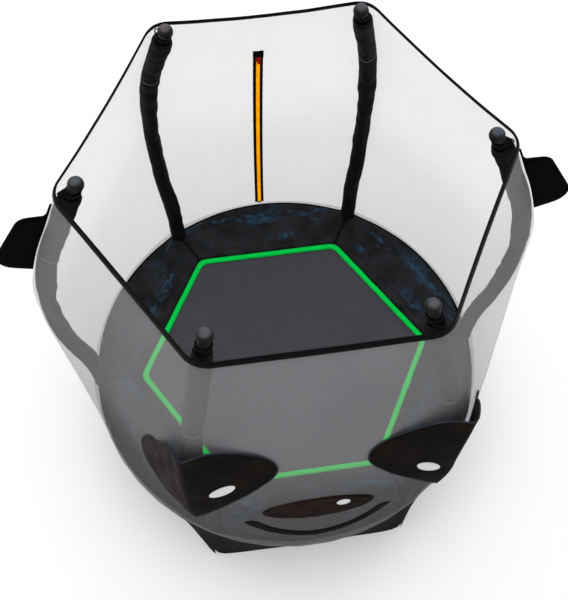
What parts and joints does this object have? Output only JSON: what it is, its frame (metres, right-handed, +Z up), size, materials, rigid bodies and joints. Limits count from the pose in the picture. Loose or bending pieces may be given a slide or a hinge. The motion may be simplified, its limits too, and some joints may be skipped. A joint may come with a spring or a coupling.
{
  "type": "children's trampoline with net enclosure",
  "caption": "Six-sided children's trampoline with bowed padded poles, a bulging net enclosure with an animal's face and ears, a zipped entrance and a sprung mat.",
  "frame": {"origin": "on the floor, under the middle of the jump mat", "axes": "+Z up, +X to the right ear, -Y out of the front panel that wears the face"},
  "size_m": [1.7696, 1.4451, 1.629],
  "materials": {
    "pole_steel": "galvanised grey, satin",
    "sleeve_cover": "wrinkled black cover over foam",
    "ball_plastic": "moulded dark grey, semi-gloss",
    "frame_steel": "black powder coat",
    "socket_plastic": "moulded black, fine grain",
    "foot_rubber": "matt black rubber",
    "bolt_steel": "zinc plated",
    "mat_cloth": "tight woven dark grey cloth",
    "mat_webbing": "black webbing",
    "elastic_webbing": "black elastic webbing",
    "green_trim": "bright green binding",
    "pad_vinyl": "coated charcoal cloth with faded blue blotches",
    "hem_webbing": "grey doubled mesh band",
    "net_mesh": "fine see-through knitted mesh",
    "rim_webbing": "black folded webbing",
    "tie_cord": "black braided elastic",
    "skirt_cloth": "black woven cloth",
    "zip_tape": "black woven tape",
    "zip_coil": "orange nylon coil",
    "zip_metal_black": "black end stops",
    "zip_red": "red enamel",
    "ear_cloth": "black quilted cloth",
    "patch_cloth": "black ribbed cloth",
    "white_cloth": "white smooth cloth"
  },
  "bodies": {
    "enclosure": {"ball_caps": "ball_plastic", "corner_sockets": "socket_plastic", "ear_left": "ear_cloth", "ear_right": "ear_cloth", "eye_left": "white_cloth", "eye_patch_left": "patch_cloth", "eye_patch_right": "patch_cloth", "eye_right": "white_cloth", "foam_sleeve_front_left": "sleeve_cover", "foam_sleeve_front_right": "sleeve_cover", "foam_sleeve_left": "sleeve_cover", "foam_sleeve_rear_left": "sleeve_cover", "foam_sleeve_rear_right": "sleeve_cover", "foam_sleeve_right": "sleeve_cover", "leg_front": "frame_steel", "leg_left_rear": "frame_steel", "leg_right_rear": "frame_steel", "mouth": "patch_cloth", "net_bottom_hem": "hem_webbing", "net_front": "net_mesh", "net_left_front": "net_mesh", "net_left_rear": "net_mesh", "net_rear": "net_mesh", "net_right_front": "net_mesh", "net_right_rear": "net_mesh", "nose": "patch_cloth", "nose_glint": "white_cloth", "pad_front": "pad_vinyl", "pad_inner_trim": "green_trim", "pad_left_front": "pad_vinyl", "pad_left_rear": "pad_vinyl", "pad_rear": "pad_vinyl", "pad_right_front": "pad_vinyl", "pad_right_rear": "pad_vinyl", "pole_front_left": "pole_steel", "pole_front_right": "pole_steel", "pole_left": "pole_steel", "pole_rear_left": "pole_steel", "pole_rear_right": "pole_steel", "pole_right": "pole_steel", "rim_hem": "rim_webbing", "ring_tubes": "frame_steel", "rubber_feet": "foot_rubber", "skirt_front": "skirt_cloth", "skirt_left_front": "skirt_cloth", "skirt_left_rear": "skirt_cloth", "skirt_rear": "skirt_cloth", "skirt_right_front": "skirt_cloth", "skirt_right_rear": "skirt_cloth", "socket_bolts": "bolt_steel", "suspension_straps": "elastic_webbing", "tie_cords": "tie_cord", "zip_coils": "zip_coil", "zip_stops": "zip_metal_black", "zip_tapes": "zip_tape"},
    "bed": {"jump_mat": "mat_cloth", "mat_hem": "mat_webbing"},
    "zip_runner": {"zip_slider": "zip_red"},
    "zip_tab": {"zip_pull": "zip_red"}
  },
  "joints": [
    {"name": "bed_bounce", "type": "slide", "parent": "enclosure", "child": "bed", "axis": [0, 0, 1], "range_m": [-0.12, 0], "stiffness_N_per_m": 4000, "springref_m": 0.012, "deforming": ["suspension_straps"]},
    {"name": "zip_run", "type": "hinge", "parent": "enclosure", "child": "zip_runner", "pos_m": [0, -3.582, 0.64], "axis": [-1, 0, 0], "range_deg": [0, 11.85]},
    {"name": "zip_tab_swing", "type": "hinge", "parent": "zip_runner", "child": "zip_tab", "pos_m": [0, 0.66215, 1.26829], "axis": [-1, 0, 0], "range_deg": [-12.5, 150]}
  ]
}
